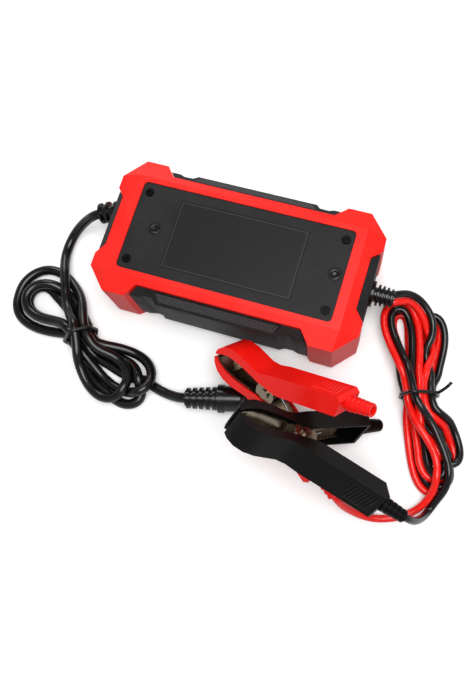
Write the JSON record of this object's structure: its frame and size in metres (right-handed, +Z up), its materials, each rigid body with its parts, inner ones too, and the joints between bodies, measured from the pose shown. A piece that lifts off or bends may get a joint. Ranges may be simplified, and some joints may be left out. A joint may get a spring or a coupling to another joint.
{
  "type": "car battery charger",
  "caption": "Car battery charger in a bumpered plastic case, with a two-pin mains lead in a tied hank and a twin output lead ending in two sprung insulated clamps.",
  "frame": {"origin": "middle of the case's front face, which is the face it lies on", "axes": "+X along the case to the end the output lead leaves by, +Z up through the back cover, -Y the side the leads and clamps lie on"},
  "size_m": [0.3324, 0.1843, 0.089],
  "materials": {
    "red_abs": "moulded, satin",
    "black_abs": "moulded, fine spark-eroded texture",
    "label": "smooth film",
    "black_steel": "black oxide",
    "grip_pad": "fine mesh relief",
    "black_pvc": "extruded, slight gloss",
    "red_pvc": "extruded, slight gloss",
    "red_grip": "soft PVC, moulded",
    "black_grip": "soft PVC, moulded",
    "gloss_panel": "polished",
    "display_window": "clear acrylic",
    "display_glass": "display glass",
    "circuit_board": "solder resist",
    "button_red": "soft touch",
    "zinc_steel": "zinc plated",
    "ferrite": "sintered",
    "winding_tape": "polyester tape",
    "winding_wire": "enamelled copper",
    "capacitor_sleeve": "shrink sleeve",
    "heatsink": "sawn extrusion",
    "fuse": "glass body in brass clips",
    "pin_brass": "nickel-plated brass",
    "nickel_steel": "pressed, nickel plated",
    "spring_steel": "drawn wire"
  },
  "bodies": {
    "charger": {"front_shell": "red_abs", "back_shell": "red_abs", "back_plate": "black_abs", "rating_label": "label", "case_screws": "black_steel", "near_side_panel": "black_abs", "far_side_panel": "black_abs", "near_grip_pad": "grip_pad", "far_grip_pad": "grip_pad", "mains_end_cap": "black_abs", "output_end_cap": "black_abs", "mains_gland": "black_pvc", "output_gland": "black_pvc", "front_panel": "gloss_panel", "display_window": "display_window", "display_module": "display_glass", "display_board": "circuit_board", "button_switch": "black_abs", "board_header": "black_abs", "main_board": "circuit_board", "board_screws": "zinc_steel", "transformer_core": "ferrite", "transformer_winding": "winding_tape", "filter_choke": "winding_wire", "mains_capacitor": "capacitor_sleeve", "output_capacitors": "capacitor_sleeve", "primary_heatsink": "heatsink", "output_heatsink": "heatsink", "power_transistors": "black_abs", "mains_fuse": "fuse", "mains_lead": "black_pvc", "mains_hank": "black_pvc", "mains_lead_tail": "black_pvc", "mains_tie": "black_pvc", "plug_body": "black_pvc", "plug_pins": "pin_brass", "output_lead_in": "black_pvc", "output_hank": "black_pvc", "output_tie": "black_pvc", "output_slack": "black_pvc", "red_lead": "red_pvc", "black_lead": "black_pvc", "red_fixed_grip": "red_grip", "red_fixed_jaw": "nickel_steel", "red_rivet": "nickel_steel", "red_spring": "spring_steel", "black_fixed_grip": "black_grip", "black_fixed_jaw": "nickel_steel", "black_rivet": "nickel_steel", "black_spring": "spring_steel"},
    "red_clamp_far_half": {"red_moving_grip": "red_grip", "red_moving_jaw": "nickel_steel"},
    "black_clamp_far_half": {"black_moving_grip": "black_grip", "black_moving_jaw": "nickel_steel"},
    "button": {"mode_button": "button_red"}
  },
  "joints": [
    {"name": "red_clamp_hinge", "type": "hinge", "parent": "charger", "child": "red_clamp_far_half", "pos_m": [0.0481, -0.0778, 0.0376], "axis": [-0.4696, -0.5987, 0.6488], "range_deg": [-6.5, 0], "stiffness_Nm_per_rad": 0.6, "springref_deg": 20.05},
    {"name": "black_clamp_hinge", "type": "hinge", "parent": "charger", "child": "black_clamp_far_half", "pos_m": [0.0738, -0.1055, 0.0572], "axis": [0.3669, 0.6522, 0.6633], "range_deg": [-25, 0], "stiffness_Nm_per_rad": 0.6, "springref_deg": 20.05},
    {"name": "mode_button_press", "type": "slide", "parent": "charger", "child": "button", "axis": [0, 0, 1], "range_m": [0, 0.0008], "stiffness_N_per_m": 600}
  ]
}
